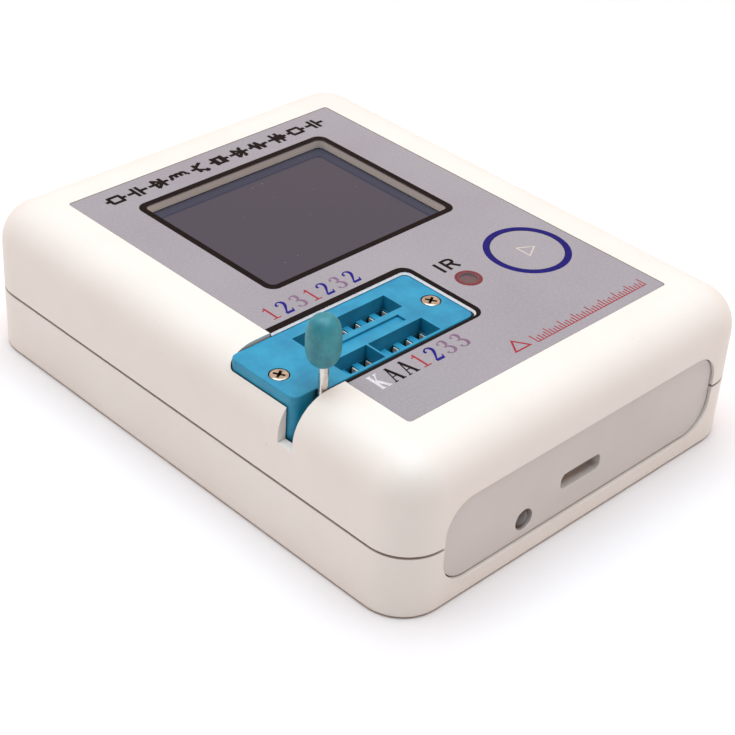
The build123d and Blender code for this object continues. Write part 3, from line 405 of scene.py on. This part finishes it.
INKS = {ink: printed_ink(f"ink_{ink}", colour) for ink, colour in INK_COLOURS.items()}
for node in nodes.values():
    slot_name = node.data.materials[0].name
    node.data.materials.clear()
    node.data.materials.append(MATERIALS[slot_name])


# ---------------------------------------------------------------- flat prints
def add_skin(mesh, sections, closed):
    """Skins a row of sections, each of four (x, y, z) corners, into a solid: a bar or a closed ring."""
    rows = [[mesh.verts.new((x * MM, y * MM, z * MM)) for x, y, z in section] for section in sections]
    following = rows[1:] + rows[:1] if closed else rows[1:]
    for row, after in zip(rows, following):
        for i in range(4):
            j = (i + 1) % 4
            mesh.faces.new((row[i], row[j], after[j], after[i]))
    if not closed:
        mesh.faces.new(rows[0][::-1])
        mesh.faces.new(rows[-1])


def add_strip(mesh, left, right, closed, bottom=PRINT_BOTTOM, top=PRINT_TOP):
    """Adds a flat solid between two lines of (x, y) points, as a band or as a ring."""
    sections = [((*p, bottom), (*q, bottom), (*q, top), (*p, top)) for p, q in zip(left, right)]
    add_skin(mesh, sections, closed)


def finish_piece(name, mesh, ink, body="case"):
    """Turns a bmesh into a printed piece that rides on a body."""
    bmesh.ops.recalc_face_normals(mesh, faces=mesh.faces)
    data = bpy.data.meshes.new(name)
    mesh.to_mesh(data)
    mesh.free()
    data.materials.append(INKS[ink])
    piece = bpy.data.objects.new(name, data)
    scene.collection.objects.link(piece)
    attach(piece, body)
    return piece


def between(p, q, r, s, t):
    """Value at the share t of the way from q to r, on the Catmull-Rom curve through p, q, r and s."""
    return 0.5 * (2 * q + (r - p) * t + (2 * p - 5 * q + 4 * r - s) * t**2 + (3 * q - p - 3 * r + s) * t**3)


def smooth_line(points, steps=8):
    """Catmull-Rom line through points of any dimension. Two points stay a straight line."""
    if len(points) == 2:
        return [tuple(p) for p in points]
    padded = [points[0], *points, points[-1]]
    line = []
    for four in zip(padded, padded[1:], padded[2:], padded[3:]):
        for k in range(steps):
            line.append(tuple(between(*values, k / steps) for values in zip(*four)))
    return line + [tuple(points[-1])]


def stroke_edges(points):
    """Left and right edges of a stroke through (x, y, width) points."""
    line = smooth_line(points)
    left, right = [], []
    for i, (x, y, width) in enumerate(line):
        before, after = line[max(i - 1, 0)], line[min(i + 1, len(line) - 1)]
        dx, dy = after[0] - before[0], after[1] - before[1]
        length = math.hypot(dx, dy)
        nx, ny = -dy / length * width / 2, dx / length * width / 2
        left.append((x + nx, y + ny))
        right.append((x - nx, y - ny))
    return left, right


def add_strokes(mesh, strokes, x, y, size):
    """Adds strokes given in letter heights, with their origin at (x, y) and a letter height of size."""
    for i, stroke in enumerate(strokes):
        placed = [(x + px * size, y + py * size, width * size) for px, py, width in stroke]
        add_strip(mesh, *stroke_edges(placed), closed=False, top=PRINT_TOP + i * STAGGER)


def arc(x, y, radius, start, end, steps=10):
    """Points on an arc, with angles in degrees."""
    angles = [math.radians(start + (end - start) * i / steps) for i in range(steps + 1)]
    return [(x + radius * math.cos(a), y + radius * math.sin(a)) for a in angles]


def circle(x, y, radius, steps):
    return arc(x, y, radius, 0, 360, steps)[:-1]


def rounded_rectangle(x0, x1, y0, y1, radius):
    """Corner arcs of a rounded rectangle, clockwise from its far right corner."""
    return (
        arc(x1 - radius, y1 - radius, radius, 90, 0)
        + arc(x1 - radius, y0 + radius, radius, 0, -90)
        + arc(x0 + radius, y0 + radius, radius, -90, -180)
        + arc(x0 + radius, y1 - radius, radius, 180, 90)
    )


# Serif numerals and letters on a unit height: each stroke is a list of (x, y, width)
THIN, MEDIUM, THICK = 0.065, 0.11, 0.16
GLYPHS = {
    "1": [
        [(0.32, 0.02, MEDIUM), (0.32, 1.0, MEDIUM)],
        [(0.33, 0.96, THIN), (0.24, 0.86, THIN), (0.12, 0.81, THIN)],
        [(0.10, 0.025, THIN), (0.54, 0.025, THIN)],
    ],
    "2": [
        [(0.13, 0.72, THICK), (0.11, 0.84, MEDIUM), (0.28, 0.97, THIN), (0.46, 0.88, THICK),
         (0.48, 0.68, THICK), (0.30, 0.36, MEDIUM), (0.08, 0.05, THIN)],
        [(0.06, 0.05, THICK), (0.52, 0.05, THICK)],
        [(0.50, 0.03, THIN), (0.57, 0.24, THIN)],
    ],
    "3": [
        [(0.12, 0.78, THICK), (0.14, 0.90, THIN), (0.30, 0.97, THIN), (0.45, 0.90, THICK),
         (0.46, 0.70, THICK), (0.36, 0.57, THIN), (0.22, 0.53, THIN)],
        [(0.22, 0.53, THIN), (0.40, 0.50, MEDIUM), (0.53, 0.34, THICK), (0.50, 0.13, THICK),
         (0.30, 0.02, THIN), (0.12, 0.08, THIN), (0.10, 0.20, THICK)],
    ],
    "K": [
        [(0.14, 0.02, THICK), (0.14, 0.98, THICK)],
        [(0.50, 0.97, THIN), (0.16, 0.42, THIN)],
        [(0.26, 0.56, THICK), (0.52, 0.02, THICK)],
        [(0.02, 0.025, THIN), (0.26, 0.025, THIN)],
        [(0.02, 0.975, THIN), (0.26, 0.975, THIN)],
        [(0.40, 0.975, THIN), (0.60, 0.975, THIN)],
        [(0.40, 0.025, THIN), (0.62, 0.025, THIN)],
    ],
    "A": [
        [(0.08, 0.02, THIN), (0.31, 1.0, THIN)],
        [(0.30, 1.0, THICK), (0.53, 0.02, THICK)],
        [(0.16, 0.36, THIN), (0.44, 0.36, THIN)],
        [(0.0, 0.025, THIN), (0.19, 0.025, THIN)],
        [(0.41, 0.025, THIN), (0.65, 0.025, THIN)],
    ],
}
BOLD = 0.2
SANS = {
    "I": [[(0.09, 0.0, BOLD), (0.09, 1.0, BOLD)]],
    "R": [
        [(0.09, 0.0, BOLD), (0.09, 1.0, BOLD)],
        [(0.02, 0.92, BOLD * 0.9), (0.46, 0.92, BOLD * 0.9), (0.68, 0.82, BOLD), (0.68, 0.60, BOLD),
         (0.46, 0.50, BOLD * 0.9), (0.02, 0.50, BOLD * 0.9)],
        [(0.42, 0.52, BOLD), (0.76, 0.0, BOLD)],
    ],
}
ROW_INKS = {"1": "red", "2": "navy", "3": "mauve", "K": "pale", "A": "black"}
ROW_PITCH = 2.5
ROWS = (
    # characters, left edge of the first, baseline, height
    ("1231232", -23.4, -6.75, 3.0),
    ("KAA1233", -23.35, -27.5, 3.1),
)


def print_rows():
    """The pin numbers above and below the socket, one piece for each ink and row."""
    for row, (text, x0, baseline, height) in zip(("top", "bottom"), ROWS):
        for ink in sorted(set(ROW_INKS[c] for c in text)):
            mesh = bmesh.new()
            for i, character in enumerate(text):
                if ROW_INKS[character] == ink:
                    add_strokes(mesh, GLYPHS[character], x0 + i * ROW_PITCH, baseline, height)
            finish_piece(f"print_{row}_row_{ink}", mesh, ink)


def print_infrared_mark():
    """Two bold letters beside the infrared window, and the ring round it."""
    mesh = bmesh.new()
    for letter, x in INFRARED_LETTERS:
        add_strokes(mesh, SANS[letter], x, INFRARED_BASELINE, INFRARED_HEIGHT)
    finish_piece("print_infrared_letters", mesh, "black")
    mesh = bmesh.new()
    inner, outer = (circle(INFRARED_X, INFRARED_Y, radius, 64) for radius in INFRARED_RING)
    add_strip(mesh, inner, outer, closed=True)
    finish_piece("print_infrared_ring", mesh, "ring_red")


def print_key_ring():
    """The blue ring round the start key. It lies on the label, clear of the key's moving edge."""
    mesh = bmesh.new()
    inner, outer = (
        circle(KEY_X, KEY_Y, KEY_RADIUS + reach, 128) for reach in (KEY_RING_GAP, KEY_RING_REACH)
    )
    add_strip(mesh, inner, outer, closed=True, bottom=LABEL_TOP + 0.002)
    finish_piece("print_key_ring", mesh, "ring_blue")


def print_window_border():
    """The black frame round the screen window."""
    mesh = bmesh.new()
    inner = rounded_rectangle(*WINDOW_INSIDE, WINDOW_INSIDE_RADIUS)
    outer = rounded_rectangle(*WINDOW_OUTSIDE, WINDOW_OUTSIDE_RADIUS)
    add_strip(mesh, inner, outer, closed=True)
    finish_piece("print_window_border", mesh, "black")


def open_border(left, near, far, right, radius):
    """Three sides round the socket, from the left end of the far side to the left end of the near side."""
    return (
        [(left, far)]
        + arc(right - radius, far - radius, radius, 90, 0)
        + arc(right - radius, near + radius, radius, 0, -90)
        + [(left, near)]
    )


def print_socket_border():
    """The black frame round the socket opening, which runs off the label's left edge."""
    mesh = bmesh.new()
    left = LABEL_LOW.x + 0.03
    inner = open_border(left, BORDER_NEAR, BORDER_FAR, BORDER_RIGHT, BORDER_RADIUS)
    outer = open_border(left, BORDER_OUTER_NEAR, BORDER_OUTER_FAR, BORDER_OUTER_RIGHT, BORDER_OUTER_RADIUS)
    add_strip(mesh, inner, outer, closed=False)
    finish_piece("print_socket_border", mesh, "black")


def trim_line(lean):
    """Line of the socket trim's upper edge, or with a lean the edge that much nearer the socket."""
    corner_x, radius = TRIM_RIGHT - TRIM_RADIUS, TRIM_RADIUS - lean
    return (
        [(LABEL_LOW.x + 0.05, TRIM_FAR - lean)]
        + arc(corner_x, TRIM_FAR - TRIM_RADIUS, radius, 90, 0)
        + arc(corner_x, TRIM_NEAR + TRIM_RADIUS, radius, 0, -TRIM_WRAP)
    )


def add_socket_trim():
    """The pale cut edge of the film that turns down towards the socket on its far and right sides."""
    mesh = bmesh.new()
    high, low = LABEL_TOP - 0.004, SOCKET_TOP + 0.06
    sections = [
        ((*p, high), (*q, low + TRIM_THICKNESS), (*q, low), (*p, high - 2 * TRIM_THICKNESS))
        for p, q in zip(trim_line(0), trim_line(TRIM_LEAN))
    ]
    add_skin(mesh, sections, closed=False)
    finish_piece("trim_socket_edge", mesh, "white")


def print_key_mark():
    """A faint start arrow on the key."""
    mesh = bmesh.new()
    inner, outer = (
        [(KEY_X - back, KEY_Y - half), (KEY_X - back, KEY_Y + half), (KEY_X + tip, KEY_Y)]
        for back, half, tip in ((0.8, 1.15, 1.3), (1.0, 1.5, 1.7))
    )
    add_strip(mesh, inner, outer, closed=True)
    finish_piece("print_key_mark", mesh, "cream", "start_key")


SYMBOL_STROKE = 0.19


def symbol(*lines):
    """Strokes of one width through (x, y) points."""
    return [[(x, y, SYMBOL_STROKE) for x, y in line] for line in lines]


# Circuit symbols on a unit height, each about 1.2 wide
SYMBOLS = [
    # resistor
    symbol(
        [(0, 0.5), (0.28, 0.5)], [(0.28, 0.22), (0.28, 0.78)], [(0.22, 0.22), (0.98, 0.22)],
        [(0.22, 0.78), (0.98, 0.78)], [(0.92, 0.22), (0.92, 0.78)], [(0.92, 0.5), (1.2, 0.5)],
    ),
    # capacitor
    symbol(
        [(0, 0.5), (0.46, 0.5)], [(0.46, 0.05), (0.46, 0.95)], [(0.74, 0.05), (0.74, 0.95)],
        [(0.74, 0.5), (1.2, 0.5)],
    ),
    # diode
    symbol(
        [(0, 0.5), (1.2, 0.5)], [(0.4, 0.08), (0.4, 0.92)], [(0.36, 0.92), (0.86, 0.5)],
        [(0.36, 0.08), (0.86, 0.5)], [(0.86, 0.08), (0.86, 0.92)],
    ),
    # coil
    symbol(
        [(0, 0.4), (0.15, 0.4)],
        *([(x, 0.4), (x + 0.05, 0.68), (x + 0.25, 0.68), (x + 0.3, 0.4)] for x in (0.15, 0.45, 0.75)),
        [(1.05, 0.4), (1.2, 0.4)],
    ),
    # transistor
    symbol(
        [(0.1, 0.5), (0.45, 0.5)], [(0.45, 0.08), (0.45, 0.92)], [(0.45, 0.62), (0.95, 0.95)],
        [(0.45, 0.38), (0.95, 0.05)], [(0.95, 0.05), (0.72, 0.08)], [(0.95, 0.05), (0.86, 0.26)],
    ),
    # crystal
    symbol(
        [(0, 0.5), (0.3, 0.5)], [(0.3, 0.1), (0.3, 0.9)], [(0.44, 0.2), (0.44, 0.8)],
        [(0.76, 0.2), (0.76, 0.8)], [(0.4, 0.22), (0.8, 0.22)], [(0.4, 0.78), (0.8, 0.78)],
        [(0.9, 0.1), (0.9, 0.9)], [(0.9, 0.5), (1.2, 0.5)],
    ),
    # voltage reference diode
    symbol(
        [(0, 0.5), (1.2, 0.5)], [(0.4, 0.08), (0.4, 0.92)], [(0.36, 0.92), (0.84, 0.5)],
        [(0.36, 0.08), (0.84, 0.5)], [(0.84, 0.1), (0.84, 0.9)], [(0.84, 0.9), (1.0, 0.9)],
        [(0.84, 0.1), (0.68, 0.1)],
    ),
    # zigzag resistor
    symbol(
        [(0, 0.5), (0.2, 0.5)], [(0.2, 0.46), (0.3, 0.9)], [(0.3, 0.9), (0.47, 0.1)],
        [(0.47, 0.1), (0.63, 0.9)], [(0.63, 0.9), (0.8, 0.1)], [(0.8, 0.1), (0.92, 0.54)],
        [(0.92, 0.5), (1.2, 0.5)],
    ),
    # battery
    symbol(
        [(0, 0.5), (0.4, 0.5)], [(0.42, 0.0), (0.42, 1.0)], [(0.6, 0.25), (0.6, 0.75)],
        [(0.78, 0.0), (0.78, 1.0)], [(0.96, 0.25), (0.96, 0.75)], [(0.96, 0.5), (1.2, 0.5)],
    ),
]


def print_title_symbols():
    """A row of circuit symbols across the head of the label."""
    mesh = bmesh.new()
    for i in range(TITLE_COUNT):
        x = TITLE_LEFT + i * TITLE_PITCH
        add_strokes(mesh, SYMBOLS[i % len(SYMBOLS)], x, TITLE_BASELINE, TITLE_HEIGHT)
    finish_piece("print_title_symbols", mesh, "black")


def print_scale():
    """A triangular pointer and a fine tick scale along the near edge of the label."""
    mesh = bmesh.new()
    centre = [sum(point[k] for point in POINTER) / 3 for k in (0, 1)]
    inner = [[centre[k] + (point[k] - centre[k]) * POINTER_HOLLOW for k in (0, 1)] for point in POINTER]
    add_strip(mesh, inner, POINTER, closed=True)
    for i in range(SCALE_COUNT):
        x = SCALE_LEFT + i * SCALE_PITCH
        height = LONG_TICK if i % 5 == 0 else (ODD_TICK if i % 2 else EVEN_TICK)
        ends = [(x, SCALE_BASELINE, SCALE_TICK), (x, SCALE_BASELINE + height, SCALE_TICK)]
        add_strip(mesh, *stroke_edges(ends), closed=False)
    left, right = SCALE_LEFT - SCALE_TICK / 2, x + SCALE_TICK / 2
    ends = [(left, SCALE_BASELINE, SCALE_LINE), (right, SCALE_BASELINE, SCALE_LINE)]
    add_strip(mesh, *stroke_edges(ends), closed=False, top=PRINT_TOP + STAGGER)
    finish_piece("print_scale", mesh, "red")


print_rows()
print_infrared_mark()
print_key_ring()
print_window_border()
print_socket_border()
add_socket_trim()
print_key_mark()
print_title_symbols()
print_scale()


# ---------------------------------------------------------------- floor, light and camera
def add_floor():
    """A plain pale sheet, just under the case."""
    mesh = bmesh.new()
    bmesh.ops.create_grid(mesh, x_segments=8, y_segments=8, size=FLOOR_REACH)
    data = bpy.data.meshes.new("floor")
    mesh.to_mesh(data)
    mesh.free()
    floor = bpy.data.objects.new("floor", data)
    scene.collection.objects.link(floor)
    s = Shader("floor_paper")
    tone = s.blend(s.remap(s.noise(8, 3), 0.3, 0.7, 0, 1), srgb(250, 248, 249), srgb(247, 245, 246))
    data.materials.append(s.set(Base_Color=tone, Roughness=0.9, Normal=s.bump(s.noise(300, 3), 0.02, 0.2)))
    floor.location.z = -FLOOR_DROP


def add_light():
    """A large soft light overhead, turned to the middle of the case."""
    light = bpy.data.lights.new("overhead", "AREA")
    light.shape = "RECTANGLE"
    light.size = light.size_y = LIGHT_SIDE
    light.energy = LIGHT_POWER
    light.color = LIGHT_COLOUR
    lamp = bpy.data.objects.new("overhead", light)
    lamp.location = LIGHT_PLACE
    lamp.rotation_mode = "QUATERNION"
    lamp.rotation_quaternion = (-Vector(LIGHT_PLACE)).to_track_quat("-Z", "Y")
    scene.collection.objects.link(lamp)


def add_world():
    """Warm soft light from all round, dimmer from beyond the near left corner."""
    world = bpy.data.worlds.new("studio")
    world.use_nodes = True
    tree = world.node_tree
    background = tree.nodes["Background"]
    background.inputs["Color"].default_value = (*WORLD_COLOUR, 1)
    direction = tree.nodes.new("ShaderNodeTexCoord")
    facing = tree.nodes.new("ShaderNodeVectorMath")
    facing.operation = "DOT_PRODUCT"
    facing.inputs[1].default_value = WORLD_DIM_SIDE
    tree.links.new(direction.outputs["Generated"], facing.inputs[0])
    strength = add_map_range(
        tree, facing.outputs["Value"], WORLD_DIM_FROM, WORLD_DIM_TO, WORLD_BRIGHT, WORLD_DIM
    )
    tree.links.new(strength, background.inputs["Strength"])
    scene.world = world


def add_camera():
    azimuth, elevation, roll = (math.radians(a) for a in (CAMERA_AZIMUTH, CAMERA_ELEVATION, CAMERA_ROLL))
    level = Vector((math.sin(azimuth), -math.cos(azimuth), 0))
    back = level * math.cos(elevation) + Vector((0, 0, math.sin(elevation)))
    right = Vector((math.cos(azimuth), math.sin(azimuth), 0))
    up = back.cross(right)
    turned_right = right * math.cos(roll) + up * math.sin(roll)
    turned_up = up * math.cos(roll) - right * math.sin(roll)
    data = bpy.data.cameras.new("camera")
    data.sensor_width = CAMERA_SENSOR
    data.lens = CAMERA_LENS
    data.clip_start, data.clip_end = 0.01, 20
    camera = bpy.data.objects.new("camera", data)
    place = Vector(CAMERA_TARGET) * MM + back * CAMERA_DISTANCE
    axes = Matrix((turned_right, turned_up, back)).transposed()
    camera.matrix_world = Matrix.Translation(place) @ axes.to_4x4()
    scene.collection.objects.link(camera)
    scene.camera = camera


add_floor()
add_world()
add_light()
add_camera()
scene.view_settings.view_transform = "Standard"
